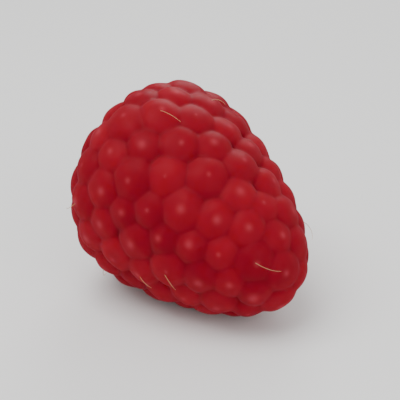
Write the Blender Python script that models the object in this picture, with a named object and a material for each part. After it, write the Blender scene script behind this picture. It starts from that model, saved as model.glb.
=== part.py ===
"""One picked raspberry, lying on its side on a table.

The fruit is a single grown solid: a thick wall round an empty hollow, with drupelets over its
outside. It is modelled standing on its tip, with its axis along Z and its open end at the top.
Then it is laid down, with the tip towards +X and slightly down and the open end towards -X.
Where it touches the table, the soft drupelets are pressed flat. All lengths are in metres.
"""

import math

import bmesh
import bpy
import numpy as np
from mathutils import Matrix, Vector

# The core is the wall under the drupelets. Its profile runs from the tip, over the girth and the
# lip's crown, into the mouth and down to the hollow's end. Heights are from the core's tip.
GIRTH_RADIUS = 0.0089
GIRTH_HEIGHT = 0.0164
TIP_BLUNTNESS = 1.35
CROWN_RADIUS = 0.0061
CROWN_HEIGHT = 0.0209
MOUTH_RADIUS = 0.0047
MOUTH_HEIGHT = 0.0190
HOLLOW_DEPTH = 0.0130
HOLLOW_BLUNTNESS = 2.3

# The open end grew slightly aslant: its rise towards one side, as a slope, and that side's direction.
SLANT = 0.10
SLANT_DIRECTION = math.radians(45)

# Drupelets, each an ellipsoid with its middle a little below the core's surface. Two that are
# nearer than REST_DISTANCE times their spacing push each other apart, a share PUSH of the way.
SPACING = 0.0030
TIP_SIZE = 0.86
OVERLAP = 1.45
HEIGHT = 0.0015
SUNK = 0.00015
SIZE_VARIATION = 0.10
REST_DISTANCE = 1.10
PUSH = 0.25
RELAXING_STEPS = 60
GOLDEN_ANGLE = math.pi * (3 - math.sqrt(5))
HEXAGON_AREA = 0.866  # of a hexagon one unit across, the room that a drupelet takes
FULL_SIZE_FROM = 0.5  # share of the way from the tip to the crown
SEED = 7

# How it lies.
LYING_TILT = math.radians(18)
PRESSED_FLAT = 0.0003

# Fineness of the solid.
TURNED_SIDES = 72
PROFILE_STEPS = 24
LAYOUT_STEPS = 400
DRUPELET_SUBDIVISIONS = 3
MERGED_WITHIN = 1e-6
VOXEL = 0.00028
KEPT_FACES = 0.1

SKIN_COLOUR = (0.32, 0.009, 0.014, 1.0)
SKIN_ROUGHNESS = 0.55

TABLE_BLOCK = 0.06


def clear_scene():
    for obj in list(bpy.data.objects):
        bpy.data.objects.remove(obj)


def outer_profile(steps):
    """Radius and height from the tip to the crown: a blunt curve to the girth, then a quarter ellipse."""
    turn = np.linspace(0, math.pi / 2, steps)
    depth = np.cos(turn) ** (2 / TIP_BLUNTNESS)
    side_radius = GIRTH_RADIUS * np.sin(turn)
    side_height = GIRTH_HEIGHT * (1 - depth)
    lip_radius = CROWN_RADIUS + (GIRTH_RADIUS - CROWN_RADIUS) * np.cos(turn)
    lip_height = GIRTH_HEIGHT + (CROWN_HEIGHT - GIRTH_HEIGHT) * np.sin(turn)
    radius = np.concatenate([side_radius, lip_radius[1:]])
    height = np.concatenate([side_height, lip_height[1:]])
    return radius, height


def inner_profile(steps):
    """Radius and height from the lip's crown, through the mouth, to the hollow's rounded end."""
    turn = np.linspace(0, math.pi / 2, steps)
    lip_radius = CROWN_RADIUS - (CROWN_RADIUS - MOUTH_RADIUS) * np.sin(turn)
    lip_height = MOUTH_HEIGHT + (CROWN_HEIGHT - MOUTH_HEIGHT) * np.cos(turn)
    wall_radius = MOUTH_RADIUS * np.cos(turn)
    wall_height = MOUTH_HEIGHT - HOLLOW_DEPTH * np.sin(turn) ** (2 / HOLLOW_BLUNTNESS)
    radius = np.concatenate([lip_radius, wall_radius[1:]])
    height = np.concatenate([lip_height, wall_height[1:]])
    return radius, height


def spread_evenly(along, radius, height, place, scale):
    """Distance along the profile and angle of each drupelet: a golden-angle spiral, then relaxed."""
    around = (np.arange(len(place)) + 0.5) * GOLDEN_ANGLE
    slope_radius = np.gradient(radius, along)
    slope_height = np.gradient(height, along)
    rest = REST_DISTANCE * SPACING * (scale[:, None] + scale[None]) / 2
    upward = np.array([0.0, 0.0, 1.0])
    for _ in range(RELAXING_STEPS):
        ring = np.interp(place, along, radius)
        sideways = np.stack([np.cos(around), np.sin(around), np.zeros_like(around)], axis=1)
        crosswise = np.cross(upward, sideways)
        tangent = sideways * np.interp(place, along, slope_radius)[:, None]
        tangent += upward * np.interp(place, along, slope_height)[:, None]
        middle = sideways * ring[:, None] + upward * np.interp(place, along, height)[:, None]
        apart = middle[:, None] - middle[None]
        distance = np.linalg.norm(apart, axis=-1) + np.eye(len(place)) * SPACING
        move = PUSH * (apart * (np.maximum(rest - distance, 0) / distance)[..., None]).sum(axis=1)
        place = np.clip(place + (move * tangent).sum(axis=1), 0, along[-1])
        around = around + (move * crosswise).sum(axis=1) / np.maximum(ring, SPACING / 2)
    return place, around


def drupelet_places():
    """Middle, outward direction and size factor of each drupelet.

    They start on a golden-angle spiral from the tip to the crown. Each takes the same share of the
    core's surface once that is weighted by size, so they pack evenly and grow away from the tip.
    """
    radius, height = outer_profile(LAYOUT_STEPS)
    step = np.hypot(np.diff(radius), np.diff(height))
    along = np.concatenate([[0], np.cumsum(step)])
    size = TIP_SIZE + (1 - TIP_SIZE) * np.clip(along / along[-1] / FULL_SIZE_FROM, 0, 1)
    band = math.pi * (radius[1:] + radius[:-1]) * step
    cell_width = SPACING * (size[1:] + size[:-1]) / 2
    share = band / (HEXAGON_AREA * cell_width**2)
    filled = np.concatenate([[0], np.cumsum(share)])
    count = int(filled[-1])
    draw = np.random.default_rng(SEED)
    place = np.interp(np.arange(count) + 0.5, filled, along)
    scale = np.interp(place, along, size) * (1 + SIZE_VARIATION * draw.uniform(-1, 1, count))
    place, around = spread_evenly(along, radius, height, place, scale)
    middle_radius = np.interp(place, along, radius)
    slope_radius = np.interp(place, along, np.gradient(radius, along))
    slope_height = np.interp(place, along, np.gradient(height, along))
    for i in range(count):
        sideways = Vector((math.cos(around[i]), math.sin(around[i]), 0))
        middle = sideways * middle_radius[i] + Vector((0, 0, np.interp(place[i], along, height)))
        outward = (sideways * slope_height[i] - Vector((0, 0, slope_radius[i]))).normalized()
        yield middle - SUNK * outward, outward, scale[i]


def add_wall(bm):
    """The core wall, turned about Z from the outer and inner profiles."""
    outer = np.stack(outer_profile(PROFILE_STEPS), axis=1)
    inner = np.stack(inner_profile(PROFILE_STEPS), axis=1)
    corners = [bm.verts.new((radius, 0, height)) for radius, height in np.vstack([outer, inner[1:]])]
    edges = [bm.edges.new(pair) for pair in zip(corners, corners[1:])]
    bmesh.ops.spin(
        bm,
        geom=corners + edges,
        cent=(0, 0, 0),
        axis=(0, 0, 1),
        angle=2 * math.pi,
        steps=TURNED_SIDES,
        use_merge=True,
    )
    bmesh.ops.remove_doubles(bm, verts=bm.verts, dist=MERGED_WITHIN)
    bmesh.ops.recalc_face_normals(bm, faces=bm.faces)


def add_drupelet(bm, middle, outward, scale):
    width = SPACING / 2 * OVERLAP * scale
    shape = Matrix.Diagonal((width, width, HEIGHT * scale, 1))
    turn = outward.to_track_quat("Z", "Y").to_matrix().to_4x4()
    placed = Matrix.Translation(middle) @ turn @ shape
    bmesh.ops.create_icosphere(bm, subdivisions=DRUPELET_SUBDIVISIONS, radius=1, matrix=placed)


def grow_aslant(bm):
    """Slopes the open end. The move along Z grows with the square of the height, so the tip stays."""
    for vert in bm.verts:
        sideways = vert.co.x * math.cos(SLANT_DIRECTION) + vert.co.y * math.sin(SLANT_DIRECTION)
        vert.co.z += SLANT * sideways * (vert.co.z / CROWN_HEIGHT) ** 2


def skin_material():
    material = bpy.data.materials.new("raspberry_skin")
    material.use_nodes = True
    shader = material.node_tree.nodes["Principled BSDF"]
    shader.inputs["Base Color"].default_value = SKIN_COLOUR
    shader.inputs["Roughness"].default_value = SKIN_ROUGHNESS
    shader.inputs["Metallic"].default_value = 0.0
    return material


def fuse_into_one_solid(obj):
    """The overlapping wall and drupelets become one closed surface with few faces."""
    fused = obj.modifiers.new("fused", "REMESH")
    fused.mode = "VOXEL"
    fused.voxel_size = VOXEL
    fewer = obj.modifiers.new("fewer_faces", "DECIMATE")
    fewer.ratio = KEPT_FACES
    fewer.use_collapse_triangulate = True


def evaluated_corners(obj):
    """World coordinates of the object's corners, modifiers included."""
    bpy.context.view_layer.update()
    evaluated = obj.evaluated_get(bpy.context.evaluated_depsgraph_get())
    mesh = evaluated.to_mesh()
    corners = np.empty(len(mesh.vertices) * 3, np.float32)
    mesh.vertices.foreach_get("co", corners)
    evaluated.to_mesh_clear()
    world = np.array(obj.matrix_world)
    return corners.reshape(-1, 3) @ world[:3, :3].T + world[:3, 3]


def lay_on_table(obj):
    """Lays the fruit down, centred over the origin, sunk by the depth that is pressed flat."""
    obj.rotation_euler = (0, LYING_TILT - math.pi / 2, 0)
    corners = evaluated_corners(obj)
    low, high = corners.min(axis=0), corners.max(axis=0)
    obj.location = (-(low[0] + high[0]) / 2, -(low[1] + high[1]) / 2, -low[2] - PRESSED_FLAT)


def press_flat(obj):
    """Cuts away what is below the table, which leaves level faces under the lowest drupelets."""
    bpy.ops.mesh.primitive_cube_add(size=TABLE_BLOCK, location=(0, 0, -TABLE_BLOCK / 2))
    table = bpy.context.object
    table.name = "table_cutter"
    table.hide_render = True
    table.display_type = "WIRE"
    cut = obj.modifiers.new("pressed_flat", "BOOLEAN")
    cut.operation = "DIFFERENCE"
    cut.object = table


def build_raspberry():
    bm = bmesh.new()
    add_wall(bm)
    for middle, outward, scale in drupelet_places():
        add_drupelet(bm, middle, outward, scale)
    grow_aslant(bm)
    mesh = bpy.data.meshes.new("raspberry")
    bm.to_mesh(mesh)
    bm.free()
    mesh.shade_smooth()
    mesh.materials.append(skin_material())
    raspberry = bpy.data.objects.new("raspberry", mesh)
    bpy.context.collection.objects.link(raspberry)
    fuse_into_one_solid(raspberry)
    lay_on_table(raspberry)
    press_flat(raspberry)


clear_scene()
build_raspberry()
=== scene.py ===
"""The looks of one picked raspberry, lying on its side on a pale table.

The fruit's skin is one closed surface: a smooth core of revolution, pushed out by the drupelets
that sit on it. They start on a golden-angle spiral and are then evened out. The dried styles are
fine curved hairs on the drupelets. All lengths are in metres.
"""

import logging
import math
from dataclasses import dataclass, field
from enum import Enum

import bpy
import numpy as np
from mathutils import Matrix, Vector


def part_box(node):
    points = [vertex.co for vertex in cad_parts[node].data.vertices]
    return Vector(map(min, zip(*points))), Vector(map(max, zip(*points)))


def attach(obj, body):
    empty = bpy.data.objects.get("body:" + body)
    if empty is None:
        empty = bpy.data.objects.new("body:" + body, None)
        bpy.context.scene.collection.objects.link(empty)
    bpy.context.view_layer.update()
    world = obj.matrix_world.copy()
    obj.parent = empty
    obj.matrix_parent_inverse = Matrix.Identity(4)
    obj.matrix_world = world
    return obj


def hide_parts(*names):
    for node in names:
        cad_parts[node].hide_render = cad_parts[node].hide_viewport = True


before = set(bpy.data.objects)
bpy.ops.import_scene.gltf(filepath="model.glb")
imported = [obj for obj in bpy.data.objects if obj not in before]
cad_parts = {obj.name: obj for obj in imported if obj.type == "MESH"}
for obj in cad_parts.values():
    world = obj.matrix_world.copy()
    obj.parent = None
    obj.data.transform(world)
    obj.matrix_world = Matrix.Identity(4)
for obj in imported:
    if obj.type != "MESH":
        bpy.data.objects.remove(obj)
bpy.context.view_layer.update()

LOG = logging.getLogger("raspberry")
MM = 0.001
GOLDEN_ANGLE = math.pi * (3 - math.sqrt(5))
HEXAGON_AREA = 0.866  # of a hexagon one unit across, the room that a dome takes
PROFILE_STEPS = 400
HALF = 0.5
SEARCHED_SQUARE = 2.0  # a dome tries points whose squared distance is under this times (width + height)^2
MOST_RISE = 2.0  # times a dome's height, the farthest that it moves a point
ODD_DIRECTION = (0.31, 0.52, 0.79)  # along no hair, so that a cross product with it never vanishes
MIX_FIRST, MIX_SECOND, MIX_RESULT = 6, 7, 2  # a colour Mix node's sockets, whose names repeat
UPWARD = np.array([0.0, 0.0, 1.0])
Colour = tuple[float, float, float, float]


class Ripeness(Enum):
    """How ripe the fruit is, as the colour of its flesh (linear RGB)."""

    PINK = (0.62, 0.06, 0.08)
    RIPE = (0.222, 0.004, 0.012)
    DARK = (0.13, 0.003, 0.010)


# ---------------------------------------------------------------- shape helpers


def row_lengths(radius: np.ndarray, height: np.ndarray) -> np.ndarray:
    """Distance run along a profile at each of its points: the running sum of its steps' lengths.

    Args:
        radius: Distance of each profile point from the axis.
        height: Height of each profile point.

    Returns:
        One length for each point, 0 at the first.
    """
    return np.concatenate([[0.0], np.cumsum(np.hypot(np.diff(radius), np.diff(height)))])


def unit(vectors: np.ndarray) -> np.ndarray:
    """The same vectors at length 1, along the last axis."""
    return vectors / np.linalg.norm(vectors, axis=-1, keepdims=True)


def ramp(values: np.ndarray, start: float, width: float) -> np.ndarray:
    """0 up to start, 1 from start + width on, and a straight line between."""
    return np.clip((values - start) / width, 0, 1)


def back_direction(azimuth: float, elevation: float) -> Vector:
    """The direction from the fruit towards a lamp or a camera that stands round it.

    Args:
        azimuth: Angle round the fruit, in radians. At 0 it stands on the -Y side.
        elevation: Angle above the table, in radians.

    Returns:
        A vector of length 1.
    """
    level = math.cos(elevation)
    return Vector((math.sin(azimuth) * level, -math.cos(azimuth) * level, math.sin(elevation)))


def grid_faces(rows: int, columns: int) -> np.ndarray:
    """Quads between neighbouring rows of a grid whose columns close into a ring.

    Corner (i, j) is number i * columns + j. Each quad runs (i, j), (i, j+1), (i+1, j+1), (i+1, j).

    Args:
        rows: Number of rows of corners.
        columns: Number of corners round each row.

    Returns:
        An array of quads, one row of four corner numbers each.
    """
    i, j = np.meshgrid(np.arange(rows - 1), np.arange(columns), indexing="ij")
    after = (j + 1) % columns
    quads = [i * columns + j, i * columns + after, (i + 1) * columns + after, (i + 1) * columns + j]
    return np.stack(quads, axis=-1).reshape(-1, 4)


def fan_faces(ring: np.ndarray, pole: int) -> np.ndarray:
    """Triangles from each side of a closed ring to one pole.

    Args:
        ring: Corner numbers round the ring.
        pole: Corner number of the pole.

    Returns:
        An array of triangles, each (corner, pole, next corner).
    """
    return np.stack([ring, np.full_like(ring, pole), np.roll(ring, -1)], axis=-1)


def mesh_object(name: str, points: np.ndarray, faces: list[np.ndarray]) -> bpy.types.Object:
    """A smooth-shaded mesh object at the origin, from arrays of corners and faces.

    Args:
        name: The piece's name.
        points: Corners, one row of x, y and z each.
        faces: Arrays of faces, each array with its own number of corners per face.

    Returns:
        The object, linked to the scene.
    """
    mesh = bpy.data.meshes.new(name)
    sizes = np.concatenate([np.full(len(block), block.shape[1]) for block in faces])
    corners = np.concatenate([block.reshape(-1) for block in faces])
    mesh.vertices.add(len(points))
    mesh.vertices.foreach_set("co", points.astype(np.float32).reshape(-1))
    mesh.loops.add(len(corners))
    mesh.loops.foreach_set("vertex_index", corners.astype(np.int32))
    mesh.polygons.add(len(sizes))
    mesh.polygons.foreach_set("loop_start", (np.cumsum(sizes) - sizes).astype(np.int32))
    mesh.update(calc_edges=True)
    mesh.validate()
    mesh.shade_smooth()
    obj = bpy.data.objects.new(name, mesh)
    bpy.context.scene.collection.objects.link(obj)
    return obj


def set_point_values(obj: bpy.types.Object, name: str, values: np.ndarray) -> None:
    """Stores one number for each corner of the mesh as a named attribute.

    Args:
        obj: The mesh object.
        name: The attribute's name.
        values: One number for each corner.
    """
    layer = obj.data.attributes.new(name, "FLOAT", "POINT")
    layer.data.foreach_set("value", values.astype(np.float32))


# ---------------------------------------------------------------- the fruit's form


@dataclass(frozen=True)
class CoreForm:
    """The smooth body under the drupelets, as a profile turned about the axis. Heights are from its tip.

    The profile has four stretches: a blunt curve from the tip to the girth, a quarter ellipse from
    the girth to the lip's crown, another from the crown to the mouth, and a blunt curve from the
    mouth to the hollow's end.
    """

    girth_radius: float = 8.9 * MM
    girth_height: float = 16.4 * MM
    tip_bluntness: float = 1.35
    crown_radius: float = 6.1 * MM
    crown_height: float = 20.9 * MM
    mouth_radius: float = 4.7 * MM
    mouth_height: float = 19.0 * MM
    hollow_depth: float = 13.0 * MM
    hollow_bluntness: float = 2.3
    slant: float = 0.10
    slant_direction: float = math.radians(45)

    def outside(self, steps: int) -> tuple[np.ndarray, np.ndarray]:
        """Radius and height from the tip to the crown.

        With t from 0 to a right angle, the first stretch is r = R sin t, h = H (1 - cos(t)^(2/b)),
        and the second is the quarter ellipse that carries on from it.

        Args:
            steps: Points on each stretch.

        Returns:
            Radius and height of each point.
        """
        turn = np.linspace(0, math.pi / 2, steps)
        side_radius = self.girth_radius * np.sin(turn)
        side_height = self.girth_height * (1 - np.cos(turn) ** (2 / self.tip_bluntness))
        lip_radius = self.crown_radius + (self.girth_radius - self.crown_radius) * np.cos(turn)
        lip_height = self.girth_height + (self.crown_height - self.girth_height) * np.sin(turn)
        return np.concatenate([side_radius, lip_radius[1:]]), np.concatenate([side_height, lip_height[1:]])

    def inside(self, steps: int) -> tuple[np.ndarray, np.ndarray]:
        """Radius and height from the crown, through the mouth, to the hollow's end.

        With t from 0 to a right angle, the first stretch is a quarter ellipse and the second is
        r = M cos t, h = H - D sin(t)^(2/b).

        Args:
            steps: Points on each stretch.

        Returns:
            Radius and height of each point.
        """
        turn = np.linspace(0, math.pi / 2, steps)
        lip_radius = self.crown_radius - (self.crown_radius - self.mouth_radius) * np.sin(turn)
        lip_height = self.mouth_height + (self.crown_height - self.mouth_height) * np.cos(turn)
        wall_radius = self.mouth_radius * np.cos(turn)
        wall_height = self.mouth_height - self.hollow_depth * np.sin(turn) ** (2 / self.hollow_bluntness)
        return np.concatenate([lip_radius, wall_radius[1:]]), np.concatenate([lip_height, wall_height[1:]])

    def aslant(self, points: np.ndarray) -> np.ndarray:
        """The points with the open end sloped: z grows by slant * s * (z / crown height)^2.

        Here s is how far a point lies in the slant's direction. The tip stays where it is.

        Args:
            points: Points in the fruit's own frame.

        Returns:
            The moved points.
        """
        way = np.array([math.cos(self.slant_direction), math.sin(self.slant_direction), 0.0])
        climb = self.slant * (points @ way) * (points[:, 2] / self.crown_height) ** 2
        return points + climb[:, None] * UPWARD


@dataclass(frozen=True)
class Domes:
    """Places and shapes of rounded domes on a surface, in the fruit's own frame.

    A scar and glint is the small pale spot near a dome's top: partly the scar where its style grew, partly a
    painted highlight.
    """

    middle: np.ndarray
    outward: np.ndarray
    width: np.ndarray
    height: np.ndarray
    tone: np.ndarray
    scar_and_glint: np.ndarray
    scar_and_glint_size: np.ndarray

    def heights_over(
        self, points: np.ndarray, normals: np.ndarray, sharpness: float
    ) -> tuple[np.ndarray, np.ndarray, np.ndarray, np.ndarray]:
        """How far each surface point moves along its normal to reach the domes' outside.

        Each dome is a flattened ellipsoid. A ray from the point along the normal leaves it at the
        larger root of a quadratic. The heights of all the domes and of the bare surface, which
        counts as 0, are joined by a smooth maximum: the logarithm of the sum of their exponentials.

        Args:
            points: Surface points.
            normals: Unit normals there.
            sharpness: Steepness of the smooth maximum, per metre. A larger one gives sharper creases.

        Returns:
            The height, the height as a share of the tallest dome there, the domes' tone there, and
            how near the moved point is to a dome's pale spot (style scar and painted highlight):
            exp(-(distance / spot size)^2).
        """
        total = np.ones(len(points))
        tallest = np.full(len(points), np.finfo(float).tiny)
        tone = np.zeros(len(points))
        with_scar_and_glint = np.zeros(len(points))
        for middle, outward, width, height, own_tone, scar_and_glint, scar_and_glint_size in zip(
            self.middle, self.outward, self.width, self.height, self.tone, self.scar_and_glint, self.scar_and_glint_size
        ):
            distance_squared = ((points - middle) ** 2).sum(axis=1)
            near = np.flatnonzero(distance_squared < SEARCHED_SQUARE * (width + height) ** 2)
            if not len(near):
                continue
            offset, ray = points[near] - middle, normals[near]
            flat = 1 / height**2 - 1 / width**2
            offset_out, ray_out = offset @ outward, ray @ outward
            a = (ray * ray).sum(axis=1) / width**2 + flat * ray_out**2
            b = (offset * ray).sum(axis=1) / width**2 + flat * offset_out * ray_out
            c = (offset * offset).sum(axis=1) / width**2 + flat * offset_out**2 - 1
            inside = b * b - a * c
            reach = (np.sqrt(np.maximum(inside, 0)) - b) / a
            weight = np.where(inside > 0, np.exp(sharpness * np.minimum(reach, MOST_RISE * height)), 0)
            total[near] += weight
            tone[near] += weight * own_tone
            tallest[near] = np.maximum(tallest[near], np.where(weight > 0, height, 0))
            # the pale spot near each top: partly the style's scar, partly a painted highlight
            away = ((points[near] + ray * reach[:, None] - scar_and_glint) ** 2).sum(axis=1)
            with_scar_and_glint[near] = np.maximum(with_scar_and_glint[near], np.where(weight > 0, np.exp(-away / scar_and_glint_size**2), 0))
        rise = np.log(total) / sharpness
        return rise, rise / tallest, tone / total, with_scar_and_glint


@dataclass(frozen=True)
class DrupeletSpiral:
    """The drupelets' arrangement: a golden-angle spiral over a profile, then relaxed.

    Each drupelet takes the same share of the surface once that is weighted by size, so they pack
    evenly and grow away from the tip.
    """

    spacing: float = 3.0 * MM
    tip_size: float = 0.86
    full_size_from: float = 0.5
    overlap: float = 1.45
    height: float = 1.5 * MM
    sunk: float = 0.15 * MM
    size_variation: float = 0.10
    # where and how big the pale spot near each top is: the style's scar and a painted highlight
    scar_and_glint_offset: float = 0.16 * MM
    scar_and_glint_sizes: tuple[float, float] = (0.12 * MM, 0.42 * MM)
    rest_distance: float = 1.10
    push: float = 0.25
    relaxing_steps: int = 60
    seed: int = 7

    def relaxed(
        self, along: np.ndarray, radius: np.ndarray, height: np.ndarray, place: np.ndarray, scale: np.ndarray
    ) -> tuple[np.ndarray, np.ndarray]:
        """Starts on a golden-angle spiral, then lets neighbours that are too close push each other apart.

        A pair at distance d whose rest distance is L moves apart by push * (L - d), along the line
        between them. The move is split into a part along the profile and a part round the axis.

        Args:
            along: Distance run along the profile at each of its points.
            radius: Radius of each profile point.
            height: Height of each profile point.
            place: Each drupelet's first distance along the profile.
            scale: Each drupelet's size factor.

        Returns:
            Each drupelet's distance along the profile and its angle round the axis.
        """
        around = (np.arange(len(place)) + 0.5) * GOLDEN_ANGLE
        slope_radius, slope_height = np.gradient(radius, along), np.gradient(height, along)
        rest = self.rest_distance * self.spacing * (scale[:, None] + scale[None]) / 2
        for _ in range(self.relaxing_steps):
            ring = np.interp(place, along, radius)
            sideways = np.stack([np.cos(around), np.sin(around), np.zeros_like(around)], axis=1)
            crosswise = np.cross(UPWARD, sideways)
            tangent = sideways * np.interp(place, along, slope_radius)[:, None]
            tangent += UPWARD * np.interp(place, along, slope_height)[:, None]
            middle = sideways * ring[:, None] + UPWARD * np.interp(place, along, height)[:, None]
            apart = middle[:, None] - middle[None]
            distance = np.linalg.norm(apart, axis=-1) + np.eye(len(place)) * self.spacing
            move = self.push * (apart * (np.maximum(rest - distance, 0) / distance)[..., None]).sum(axis=1)
            place = np.clip(place + (move * tangent).sum(axis=1), 0, along[-1])
            around = around + (move * crosswise).sum(axis=1) / np.maximum(ring, self.spacing / 2)
        return place, around

    def over(self, radius: np.ndarray, height: np.ndarray, side: float = 1.0) -> Domes:
        """Lays the spiral over a profile turned about the axis.

        Args:
            radius: Radius of each profile point, from the one on the axis on.
            height: Height of each profile point.
            side: 1 for domes that face away from the axis, -1 for ones that face it.

        Returns:
            The drupelets as domes.
        """
        along = row_lengths(radius, height)
        step = np.diff(along)
        size = self.tip_size + (1 - self.tip_size) * ramp(along / along[-1], 0, self.full_size_from)
        band = math.pi * (radius[1:] + radius[:-1]) * step
        cell_width = self.spacing * (size[1:] + size[:-1]) / 2
        share = band / (HEXAGON_AREA * cell_width**2)
        filled = np.concatenate([[0.0], np.cumsum(share)])
        count = int(filled[-1])
        draw = np.random.default_rng(self.seed)
        place = np.interp(np.arange(count) + 0.5, filled, along)
        scale = np.interp(place, along, size) * (1 + self.size_variation * draw.uniform(-1, 1, count))
        place, around = self.relaxed(along, radius, height, place, scale)
        ring = np.interp(place, along, radius)
        slope_radius = np.interp(place, along, np.gradient(radius, along))
        slope_height = np.interp(place, along, np.gradient(height, along))
        sideways = np.stack([np.cos(around), np.sin(around), np.zeros(count)], axis=1)
        outward = side * unit(sideways * slope_height[:, None] - UPWARD * slope_radius[:, None])
        middle = sideways * ring[:, None] + UPWARD * np.interp(place, along, height)[:, None]
        middle = middle - self.sunk * outward
        aside = np.cross(outward, draw.normal(0, 1, (count, 3))) * self.scar_and_glint_offset
        return Domes(
            middle=middle,
            outward=outward,
            width=self.spacing / 2 * self.overlap * scale,
            height=self.height * scale,
            tone=draw.uniform(0, 1, count),
            scar_and_glint=middle + outward * (self.height * scale)[:, None] + aside,
            scar_and_glint_size=draw.uniform(*self.scar_and_glint_sizes, count),
        )


@dataclass(frozen=True)
class Pose:
    """How the fruit lies: its own frame, with the axis up and the tip down, turned onto its side."""

    tilt: float = math.radians(18)
    pressed_flat: float = 0.3 * MM

    def turned(self, vectors: np.ndarray) -> np.ndarray:
        """Turns vectors from the fruit's own frame so that its tip points to +X and slightly down."""
        turn = np.array(Matrix.Rotation(self.tilt - math.pi / 2, 3, "Y"))
        return vectors @ turn.T

    def shift(self, turned_points: np.ndarray, low: Vector, high: Vector) -> np.ndarray:
        """The move that centres turned points in a box and sinks them by the depth pressed flat.

        Args:
            turned_points: The skin's points after turning.
            low: The box's lowest corner.
            high: The box's highest corner.

        Returns:
            The move along x, y and z.
        """
        least, most = turned_points.min(axis=0), turned_points.max(axis=0)
        middle = (np.array(low) + np.array(high)) / 2 - (least + most) / 2
        return np.array([middle[0], middle[1], low[2] - self.pressed_flat - least[2]])


# ---------------------------------------------------------------- materials


def new_material(name: str) -> tuple[bpy.types.Material, bpy.types.NodeTree, bpy.types.Node]:
    """A material with its node tree and its Principled shader.

    Args:
        name: The material's name.

    Returns:
        The material, its nodes and the shader.
    """
    material = bpy.data.materials.new(name)
    material.use_nodes = True
    return material, material.node_tree, material.node_tree.nodes["Principled BSDF"]


def mixed_colour(
    tree: bpy.types.NodeTree,
    factor: bpy.types.NodeSocket,
    first: Colour | bpy.types.NodeSocket,
    second: Colour | bpy.types.NodeSocket,
) -> bpy.types.NodeSocket:
    """Adds a node that blends two colours.

    Args:
        tree: The nodes to add it to.
        factor: The socket that gives the second colour's share.
        first: The first colour, as a value or as the socket that gives it.
        second: The second colour, likewise.

    Returns:
        The socket that gives the blend.
    """
    node = tree.nodes.new("ShaderNodeMix")
    node.data_type = "RGBA"
    tree.links.new(factor, node.inputs["Factor"])
    for socket, colour in ((node.inputs[MIX_FIRST], first), (node.inputs[MIX_SECOND], second)):
        if isinstance(colour, tuple):
            socket.default_value = colour
        else:
            tree.links.new(colour, socket)
    return node.outputs[MIX_RESULT]


def attribute_value(tree: bpy.types.NodeTree, name: str) -> bpy.types.NodeSocket:
    """Adds a node that reads one of the mesh's attributes.

    Args:
        tree: The nodes to add it to.
        name: The attribute's name.

    Returns:
        The socket that gives the attribute's value.
    """
    node = tree.nodes.new("ShaderNodeAttribute")
    node.attribute_name = name
    return node.outputs["Fac"]


def mottle_group() -> bpy.types.NodeGroup:
    """A shared effect: soft mottling that moves a colour between two others, and a fine grain height.

    The colour's place between the two is position + patch amount * (noise - a half).

    Returns:
        The group, to be placed in each material with its own values.
    """
    group = bpy.data.node_groups.new("Mottle", "ShaderNodeTree")
    face = group.interface
    for name, kind, default in (
        ("Deep", "NodeSocketColor", (0.2, 0.0, 0.0, 1.0)),
        ("Bright", "NodeSocketColor", (0.6, 0.0, 0.0, 1.0)),
        ("Position", "NodeSocketFloat", 0.5),
        ("Patch Scale", "NodeSocketFloat", 300.0),
        ("Patch Amount", "NodeSocketFloat", 0.3),
        ("Grain Scale", "NodeSocketFloat", 3000.0),
    ):
        face.new_socket(name, in_out="INPUT", socket_type=kind).default_value = default
    face.new_socket("Colour", in_out="OUTPUT", socket_type="NodeSocketColor")
    face.new_socket("Grain", in_out="OUTPUT", socket_type="NodeSocketFloat")
    nodes, links = group.nodes, group.links
    inputs, outputs = nodes.new("NodeGroupInput"), nodes.new("NodeGroupOutput")
    place = nodes.new("ShaderNodeTexCoord")
    patches, grain = nodes.new("ShaderNodeTexNoise"), nodes.new("ShaderNodeTexNoise")
    for texture, scale, detail in ((patches, "Patch Scale", 3.0), (grain, "Grain Scale", 4.0)):
        texture.inputs["Detail"].default_value = detail
        links.new(place.outputs["Object"], texture.inputs["Vector"])
        links.new(inputs.outputs[scale], texture.inputs["Scale"])
    centred = nodes.new("ShaderNodeMath")
    centred.operation = "SUBTRACT"
    centred.inputs[1].default_value = HALF
    links.new(patches.outputs["Fac"], centred.inputs[0])
    moved = nodes.new("ShaderNodeMath")
    moved.operation = "MULTIPLY_ADD"
    moved.use_clamp = True
    links.new(centred.outputs[0], moved.inputs[0])
    links.new(inputs.outputs["Patch Amount"], moved.inputs[1])
    links.new(inputs.outputs["Position"], moved.inputs[2])
    colour = mixed_colour(group, moved.outputs[0], inputs.outputs["Deep"], inputs.outputs["Bright"])
    links.new(colour, outputs.inputs["Colour"])
    links.new(grain.outputs["Fac"], outputs.inputs["Grain"])
    return group


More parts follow.
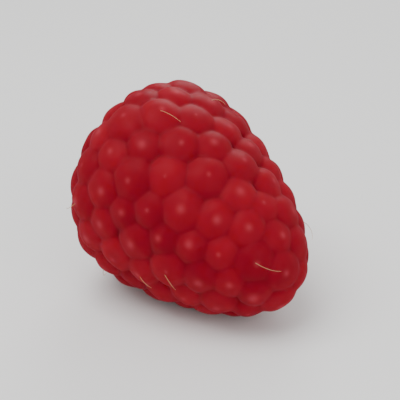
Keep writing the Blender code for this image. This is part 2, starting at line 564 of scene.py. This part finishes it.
@dataclass(frozen=True)
class FruitSkinFinish:
    """Ripe raspberry skin: translucent red flesh with painted shade in the creases, and a dull moist gloss.

    The flesh is mottled between a deeper and a brighter colour, each a factor of the ripe one.
    """

    ripeness: Ripeness = Ripeness.RIPE
    # painted shade: a darker red laid into the creases between drupelets, fading out between the two shares
    # of dome height below
    painted_crease_shade: Colour = (0.18, 0.003, 0.008, 1.0)
    painted_shade_from: float = 0.15
    painted_shade_to: float = 0.75
    deeper: tuple[float, float, float] = (0.78, 0.7, 0.8)
    brighter: tuple[float, float, float] = (1.3, 1.5, 1.3)
    least_tone: float = 0.30
    tone_spread: float = 0.45
    patch_scale: float = 420.0
    patch_amount: float = 0.6
    hollow: Colour = (0.60, 0.035, 0.030, 1.0)
    # style scar and painted highlight: a pale pink spot near each drupelet's top, partly the scar and partly
    # a glint laid into the colour
    scar_and_glint: Colour = (0.50, 0.07, 0.10, 1.0)
    scar_and_glint_amount: float = 0.36
    roughness: float = 0.42
    gloss_level: float = 0.10
    gloss_tint: Colour = (1.0, 0.28, 0.36, 1.0)
    glow_weight: float = 0.8
    glow_reach: tuple[float, float, float] = (1.0, 0.14, 0.10)
    glow_scale: float = 2.0 * MM
    sheen_weight: float = 0.12
    sheen_tint: Colour = (1.0, 0.35, 0.40, 1.0)
    sheen_roughness: float = 0.5
    grain_scale: float = 5200.0
    grain_depth: float = 0.01 * MM
    grain_strength: float = 0.35

    def flesh(self, factors: tuple[float, float, float]) -> Colour:
        """The ripe colour with each channel multiplied by its factor."""
        red, green, blue = (channel * factor for channel, factor in zip(self.ripeness.value, factors))
        return (red, green, blue, 1.0)

    def build(self, mottle: bpy.types.NodeGroup) -> bpy.types.Material:
        """Makes the material, which reads the skin's rise (for the painted crease shade), tone,
        scar_and_glint and hollow attributes.

        Args:
            mottle: The shared mottling group.

        Returns:
            The material.
        """
        material, tree, shader = new_material("ripe_raspberry_skin")
        nodes, links = tree.nodes, tree.links
        # painted shade: where the skin lies low between drupelets, its colour turns to the darker crease red
        depth = nodes.new("ShaderNodeMapRange")
        depth.interpolation_type = "SMOOTHSTEP"
        depth.inputs["From Min"].default_value = self.painted_shade_from
        depth.inputs["From Max"].default_value = self.painted_shade_to
        links.new(attribute_value(tree, "rise"), depth.inputs["Value"])
        toned = nodes.new("ShaderNodeMath")
        toned.operation = "MULTIPLY_ADD"
        toned.inputs[1].default_value = self.tone_spread
        toned.inputs[2].default_value = self.least_tone
        links.new(attribute_value(tree, "tone"), toned.inputs[0])
        faded = nodes.new("ShaderNodeMath")
        faded.operation = "MULTIPLY"
        faded.inputs[1].default_value = self.scar_and_glint_amount
        links.new(attribute_value(tree, "scar_and_glint"), faded.inputs[0])

        mottled = nodes.new("ShaderNodeGroup")
        mottled.node_tree = mottle
        mottled.inputs["Deep"].default_value = self.flesh(self.deeper)
        mottled.inputs["Bright"].default_value = self.flesh(self.brighter)
        mottled.inputs["Patch Scale"].default_value = self.patch_scale
        mottled.inputs["Patch Amount"].default_value = self.patch_amount
        mottled.inputs["Grain Scale"].default_value = self.grain_scale
        links.new(toned.outputs[0], mottled.inputs["Position"])
        crease_shaded = mixed_colour(tree, depth.outputs[0], self.painted_crease_shade, mottled.outputs["Colour"])
        # painted highlight and style scar: the pale spot near each drupelet's top
        with_scar_and_glint = mixed_colour(tree, faded.outputs[0], crease_shaded, self.scar_and_glint)
        lined = mixed_colour(tree, attribute_value(tree, "hollow"), with_scar_and_glint, self.hollow)
        links.new(lined, shader.inputs["Base Color"])

        bump = nodes.new("ShaderNodeBump")
        bump.inputs["Strength"].default_value = self.grain_strength
        bump.inputs["Distance"].default_value = self.grain_depth
        links.new(mottled.outputs["Grain"], bump.inputs["Height"])
        links.new(bump.outputs["Normal"], shader.inputs["Normal"])
        shader.inputs["Roughness"].default_value = self.roughness
        shader.inputs["Specular IOR Level"].default_value = self.gloss_level
        shader.inputs["Specular Tint"].default_value = self.gloss_tint
        shader.inputs["Subsurface Weight"].default_value = self.glow_weight
        shader.inputs["Subsurface Radius"].default_value = self.glow_reach
        shader.inputs["Subsurface Scale"].default_value = self.glow_scale
        shader.inputs["Sheen Weight"].default_value = self.sheen_weight
        shader.inputs["Sheen Tint"].default_value = self.sheen_tint
        shader.inputs["Sheen Roughness"].default_value = self.sheen_roughness
        return material


@dataclass(frozen=True)
class DriedStyleFinish:
    """A dried style: reddish brown at its root and straw coloured at its end."""

    root: Colour = (0.42, 0.20, 0.08, 1.0)
    end: Colour = (0.62, 0.38, 0.20, 1.0)
    roughness: float = 0.55

    def build(self) -> bpy.types.Material:
        """Makes the material, which reads the hairs' own along attribute.

        Returns:
            The material.
        """
        material, tree, shader = new_material("dried_style")
        colour = mixed_colour(tree, attribute_value(tree, "along"), self.root, self.end)
        tree.links.new(colour, shader.inputs["Base Color"])
        shader.inputs["Roughness"].default_value = self.roughness
        return material


@dataclass(frozen=True)
class TableFinish:
    """A plain pale matt table."""

    colour: Colour = (0.86, 0.86, 0.85, 1.0)
    roughness: float = 0.8

    def build(self) -> bpy.types.Material:
        """Makes the material.

        Returns:
            The material.
        """
        material, _, shader = new_material("pale_table")
        shader.inputs["Base Color"].default_value = self.colour
        shader.inputs["Roughness"].default_value = self.roughness
        return material


# ---------------------------------------------------------------- pieces


@dataclass
class RaspberrySkin:
    """The whole fruit's surface: outside, rim and hollow in one closed skin."""

    core: CoreForm = field(default_factory=CoreForm)
    drupelets: DrupeletSpiral = field(default_factory=DrupeletSpiral)
    inner_ends: DrupeletSpiral = field(
        default_factory=lambda: DrupeletSpiral(
            spacing=1.9 * MM, tip_size=0.7, overlap=1.3, height=0.80 * MM, sunk=0.35 * MM, seed=11
        )
    )
    pose: Pose = field(default_factory=Pose)
    columns: int = 380
    outer_rows: int = 196
    inner_rows: int = 62
    crease_radius: float = 0.10 * MM
    pucker: float = 0.11 * MM
    ripple_length: float = 3.1 * MM
    ripple_ways: tuple[tuple[float, float, float], ...] = (
        (0.9, 0.3, 0.5), (-0.4, 1.1, 0.2), (0.3, -0.6, 1.2), (1.3, 0.8, -0.7)
    )
    lining_from: float = 0.12
    lining_blend: float = 0.20
    hollow_colour_from: float = 0.05
    hollow_colour_blend: float = 0.25
    finish: FruitSkinFinish = field(default_factory=FruitSkinFinish)
    domes: Domes = field(init=False)
    ends: Domes = field(init=False)

    def __post_init__(self) -> None:
        """Lays out the drupelets and their inner ends."""
        self.domes = self.drupelets.over(*self.core.outside(PROFILE_STEPS))
        radius, height = self.core.inside(PROFILE_STEPS)
        self.ends = self.inner_ends.over(radius[::-1], height[::-1], side=-1.0)

    def profile(self) -> tuple[np.ndarray, np.ndarray, np.ndarray]:
        """The whole profile, tip to crown to hollow's end, with rows close together outside.

        Returns:
            Radius, height and the share of the way into the hollow, for each row between the poles.
        """
        parts = []
        for (radius, height), rows in (
            (self.core.outside(PROFILE_STEPS), self.outer_rows),
            (self.core.inside(PROFILE_STEPS), self.inner_rows),
        ):
            along = row_lengths(radius, height)
            even = np.linspace(0, along[-1], rows + 1)
            parts.append((np.interp(even, along, radius), np.interp(even, along, height)))
        radius = np.concatenate([parts[0][0][1:], parts[1][0][1:-1]])
        height = np.concatenate([parts[0][1][1:], parts[1][1][1:-1]])
        inward = np.concatenate([np.zeros(self.outer_rows), np.linspace(0, 1, self.inner_rows + 1)[1:-1]])
        return radius, height, inward

    def ripple(self, points: np.ndarray) -> np.ndarray:
        """Soft unevenness from -1 to 1: the mean of four waves that cross at odd angles and lengths.

        Args:
            points: Points in the fruit's own frame.

        Returns:
            One value for each point.
        """
        waves = np.array(self.ripple_ways) * 2 * math.pi / self.ripple_length
        return np.sin(points @ waves.T + np.arange(len(waves))).mean(axis=1)

    def bare_surface(self) -> tuple[np.ndarray, np.ndarray, np.ndarray]:
        """The core's surface as rows of points round the axis, with a pole at each end.

        A row's points are (r cos a, r sin a, h) for the angle a round the axis. The normal there is
        (h' cos a, h' sin a, -r'), where r' and h' are the profile's slopes.

        Returns:
            Points, unit normals and the share of the way into the hollow. The last two rows of each
            are the poles: the tip and the hollow's end.
        """
        radius, height, inward = self.profile()
        end_height = self.core.mouth_height - self.core.hollow_depth
        whole_radius = np.concatenate([[0.0], radius, [0.0]])
        whole_height = np.concatenate([[0.0], height, [end_height]])
        along = row_lengths(whole_radius, whole_height)
        slope_radius = np.gradient(whole_radius, along)[1:-1]
        slope_height = np.gradient(whole_height, along)[1:-1]
        around = np.arange(self.columns) * 2 * math.pi / self.columns
        ring = np.stack([np.cos(around), np.sin(around), np.zeros(self.columns)], axis=1)
        points = ring[None] * radius[:, None, None] + UPWARD * height[:, None, None]
        normals = ring[None] * slope_height[:, None, None] - UPWARD * slope_radius[:, None, None]
        points = np.concatenate([points.reshape(-1, 3), [0.0 * UPWARD, end_height * UPWARD]])
        normals = unit(np.concatenate([normals.reshape(-1, 3), [-UPWARD, UPWARD]]))
        inward = np.concatenate([np.repeat(inward, self.columns), [0.0, 1.0]])
        return points, normals, inward

    def faces(self, rows: int) -> list[np.ndarray]:
        """The skin's faces: quads between its rows, and a fan of triangles round each pole.

        Args:
            rows: Number of rows between the poles.

        Returns:
            The quads, then the tip's triangles, then the hollow end's.
        """
        tip, end = rows * self.columns, rows * self.columns + 1
        first = np.arange(self.columns)
        last = first + (rows - 1) * self.columns
        return [grid_faces(rows, self.columns), fan_faces(first, tip), fan_faces(last[::-1], end)]

    def build(self, low: Vector, high: Vector) -> tuple[bpy.types.Object, np.ndarray]:
        """Makes the skin, turned to how it lies and fitted to a box.

        Each point moves along the core's normal by the height of the domes there: the drupelets'
        outside, and their inner ends in the hollow. Points that end below the table are pressed up
        to it.

        Args:
            low: The lowest corner of the box that the skin fits.
            high: The box's highest corner.

        Returns:
            The skin, and the move that was applied after turning.
        """
        points, normals, inward = self.bare_surface()
        rise, share, tone, with_scar_and_glint = self.domes.heights_over(points, normals, 1 / self.crease_radius)
        end_rise, end_share, end_tone, _ = self.ends.heights_over(points, normals, 1 / self.crease_radius)
        lined = ramp(inward, self.lining_from, self.lining_blend)
        rise += end_rise * lined
        rise += self.pucker * (1 - lined) * self.ripple(points)
        share = np.maximum(share, end_share * lined)
        tone = np.where(lined > HALF, end_tone, tone)

        points = self.pose.turned(self.core.aslant(points + normals * rise[:, None]))
        move = self.pose.shift(points, low, high)
        points = points + move
        points[:, 2] = np.maximum(points[:, 2], low[2])
        skin = mesh_object("raspberry_skin", points, self.faces(self.outer_rows + self.inner_rows - 1))
        # the share of the dome height, which places the painted crease shade
        set_point_values(skin, "rise", share)
        set_point_values(skin, "tone", tone)
        # where the pale spot lies (style scar and painted highlight), outside the hollow only
        set_point_values(skin, "scar_and_glint", with_scar_and_glint * (1 - lined))
        hollow = ramp(inward, self.hollow_colour_from, self.hollow_colour_blend)
        set_point_values(skin, "hollow", hollow)
        return skin, move

    def dress(self, skin: bpy.types.Object, mottle: bpy.types.NodeGroup) -> None:
        """Gives the skin its finish, body and slot.

        Args:
            skin: The skin.
            mottle: The shared mottling group.
        """
        skin.data.materials.append(self.finish.build(mottle))
        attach(skin, "root")
        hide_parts("raspberry")


@dataclass
class DriedStyles:
    """The fine curved hairs that the flower's styles left on some of the drupelets."""

    share: float = 0.15
    length: tuple[float, float] = (1.2 * MM, 3.0 * MM)
    thickness: float = 0.055 * MM
    root_lean: tuple[float, float] = (math.radians(25), math.radians(60))
    end_lean: tuple[float, float] = (math.radians(95), math.radians(140))
    curl: float = math.radians(70)
    sides: int = 6
    steps: int = 14
    root_seat: float = 0.98
    end_taper: float = 0.55
    tipward: tuple[float, float, float] = (1.0, 0.0, -0.3)
    waywardness: float = 0.6
    clearance: float = 0.15 * MM
    overhang: float = 0.35 * MM
    seed: int = 23
    finish: DriedStyleFinish = field(default_factory=DriedStyleFinish)

    def paths(self, roots: np.ndarray, outward: np.ndarray) -> np.ndarray:
        """A curved path for each hair.

        A path's direction leans away from the drupelet's outward direction by an angle that grows
        along the hair, while it swings sideways by another. The path is the running sum of its
        directions.

        Args:
            roots: Where each hair starts.
            outward: The drupelet's outward direction there.

        Returns:
            An array of hairs by steps by three.
        """
        count = len(roots)
        draw = np.random.default_rng(self.seed)
        tipward = np.array(self.tipward) + draw.normal(0, self.waywardness, (count, 3))
        lean_way = unit(tipward - (tipward * outward).sum(axis=1, keepdims=True) * outward)
        side_way = np.cross(outward, lean_way)
        along = np.linspace(0, 1, self.steps)[None, :]
        start = draw.uniform(*self.root_lean, (count, 1))
        finish = draw.uniform(*self.end_lean, (count, 1))
        lean = start + (finish - start) * along
        swing = draw.uniform(-self.curl, self.curl, (count, 1)) * along
        direction = (
            np.cos(lean)[..., None] * outward[:, None]
            + (np.sin(lean) * np.cos(swing))[..., None] * lean_way[:, None]
            + (np.sin(lean) * np.sin(swing))[..., None] * side_way[:, None]
        )
        step = draw.uniform(*self.length, (count, 1, 1)) / (self.steps - 1)
        run = np.cumsum(direction * step, axis=1)
        return roots[:, None] + run - run[:, :1]

    def build(self, fruit: RaspberrySkin, move: np.ndarray, low: Vector, high: Vector) -> bpy.types.Object:
        """Makes all the hairs as one piece, a thin tapering tube each.

        A tube's ring at each step is path + t (cos a n + sin a m), where n and m square up to the
        path's direction and t is half the thickness there.

        Args:
            fruit: The fruit that carries them.
            move: The move applied to the skin after turning.
            low: The lowest corner of the fruit's box.
            high: The box's highest corner.

        Returns:
            The hairs.
        """
        domes = fruit.domes
        draw = np.random.default_rng(self.seed + 1)
        chosen = np.flatnonzero(draw.uniform(0, 1, len(domes.tone)) < self.share)
        seat = domes.height[chosen, None] * self.root_seat
        tops = domes.middle[chosen] + domes.outward[chosen] * seat
        tops = fruit.pose.turned(fruit.core.aslant(tops)) + move
        outward = fruit.pose.turned(domes.outward[chosen])
        paths = self.paths(tops, outward)
        above_low = (paths > np.array(low) - self.overhang).all(axis=(1, 2))
        below_high = (paths < np.array(high) + self.overhang).all(axis=(1, 2))
        clear = (paths[..., 2] > low[2] + self.clearance).all(axis=1)
        paths = paths[above_low & below_high & clear]
        hairs = len(paths)

        direction = unit(np.gradient(paths, axis=1))
        helper = unit(np.cross(direction, np.array(ODD_DIRECTION)))
        other = np.cross(direction, helper)
        along = np.linspace(0, 1, self.steps)
        half_thickness = self.thickness / 2 * (1 - self.end_taper * along)[None, :, None, None]
        around = np.arange(self.sides) * 2 * math.pi / self.sides
        ring = (
            np.cos(around)[:, None] * helper[:, :, None, :] + np.sin(around)[:, None] * other[:, :, None, :]
        )
        tubes = paths[:, :, None, :] + half_thickness * ring
        ends = np.stack([paths[:, 0] - direction[:, 0] * self.thickness, paths[:, -1]], axis=1)
        points = np.concatenate([tubes.reshape(hairs, -1, 3), ends], axis=1)
        size = points.shape[1]
        first = np.arange(self.sides)
        last = first + (self.steps - 1) * self.sides
        offset = (np.arange(hairs) * size)[:, None, None]
        quads = (grid_faces(self.steps, self.sides)[None] + offset).reshape(-1, 4)
        caps = np.concatenate([fan_faces(first, size - 2), fan_faces(last[::-1], size - 1)])
        caps = (caps[None] + offset).reshape(-1, 3)
        obj = mesh_object("dried_styles", points.reshape(-1, 3), [quads, caps])
        values = np.concatenate([np.repeat(along, self.sides), [0.0, 1.0]])
        set_point_values(obj, "along", np.tile(values, hairs))
        return obj

    def dress(self, hairs: bpy.types.Object) -> None:
        """Gives the hairs their finish, body and slot.

        Args:
            hairs: The hairs.
        """
        hairs.data.materials.append(self.finish.build())
        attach(hairs, "root")


# ---------------------------------------------------------------- studio


@dataclass(frozen=True)
class Lamp:
    """A square soft light that faces the fruit. Its azimuth and elevation are in degrees."""

    name: str
    azimuth: float
    elevation: float
    distance: float
    side: float
    watts: float

    def place(self) -> None:
        """Adds the light to the scene."""
        data = bpy.data.lights.new(self.name, "AREA")
        data.shape, data.size, data.energy = "SQUARE", self.side, self.watts
        lamp = bpy.data.objects.new(self.name, data)
        back = back_direction(math.radians(self.azimuth), math.radians(self.elevation))
        lamp.location = back * self.distance
        lamp.rotation_euler = back.to_track_quat("Z", "Y").to_euler()
        bpy.context.scene.collection.objects.link(lamp)


@dataclass
class Studio:
    """A plain pale table in a pale room, soft lights and the camera.

    The lights are a broad one overhead, a weaker one from the front and a low one behind. The room
    and the table give light but aren't mirrored, so the skin's glints come from the lamps alone.
    """

    camera_azimuth: float = math.radians(45)
    camera_elevation: float = math.radians(24)
    lens: float = 85.0
    field_width: float = 38 * MM
    nearest_share: float = 0.05
    farthest: float = 10.0
    table_size: float = 4.0
    table_gap: float = 0.02 * MM
    room_colour: Colour = (1.0, 1.0, 1.0, 1.0)
    room_strength: float = 0.75
    lamps: tuple[Lamp, ...] = (
        Lamp("overhead", azimuth=-10, elevation=68, distance=0.35, side=0.26, watts=1.0),
        Lamp("front_fill", azimuth=75, elevation=25, distance=0.45, side=0.30, watts=0.6),
        Lamp("back_rim", azimuth=215, elevation=35, distance=0.40, side=0.20, watts=0.4),
    )
    finish: TableFinish = field(default_factory=TableFinish)

    def table(self, low: Vector) -> None:
        """Places a large flat table just under the fruit.

        Args:
            low: The lowest corner of the fruit's box.
        """
        half, level = self.table_size / 2, low[2] - self.table_gap
        corners = [(-half, -half, level), (half, -half, level), (half, half, level), (-half, half, level)]
        table = mesh_object("table", np.array(corners), [np.array([[0, 1, 2, 3]])])
        table.data.materials.append(self.finish.build())
        table.visible_glossy = False

    def lights(self) -> None:
        """Places the lamps and makes the pale room."""
        for lamp in self.lamps:
            lamp.place()
        world = bpy.data.worlds.new("pale_room")
        world.use_nodes = True
        sky = world.node_tree.nodes["Background"]
        sky.inputs["Color"].default_value = self.room_colour
        sky.inputs["Strength"].default_value = self.room_strength
        world.cycles_visibility.glossy = False
        bpy.context.scene.world = world

    def camera(self, low: Vector, high: Vector) -> None:
        """A long lens aimed at the middle of the fruit, from above and to the side of its tip.

        Args:
            low: The lowest corner of the fruit's box.
            high: The box's highest corner.
        """
        data = bpy.data.cameras.new("camera")
        data.lens = self.lens
        distance = self.field_width * self.lens / data.sensor_width
        back = back_direction(self.camera_azimuth, self.camera_elevation)
        camera = bpy.data.objects.new("camera", data)
        camera.location = (low + high) / 2 + back * distance
        camera.rotation_euler = back.to_track_quat("Z", "Y").to_euler()
        data.clip_start, data.clip_end = distance * self.nearest_share, self.farthest
        bpy.context.scene.collection.objects.link(camera)
        bpy.context.scene.camera = camera


def main() -> None:
    """Builds the fruit's pieces in order, then the studio round them."""
    logging.basicConfig(level=logging.INFO, format="%(name)s: %(message)s")
    low, high = (Vector(corner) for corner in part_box("raspberry"))
    mottle = mottle_group()

    fruit = RaspberrySkin()
    skin, move = fruit.build(low, high)
    fruit.dress(skin, mottle)
    LOG.info("skin: %d drupelets, %d faces", len(fruit.domes.tone), len(skin.data.polygons))

    styles = DriedStyles()
    hairs = styles.build(fruit, move, low, high)
    styles.dress(hairs)
    LOG.info("dried styles: %d faces", len(hairs.data.polygons))

    studio = Studio()
    studio.table(low)
    studio.lights()
    studio.camera(low, high)
    LOG.info("studio: table, %d lights and camera", len(studio.lamps))


if __name__ == "__main__":
    main()
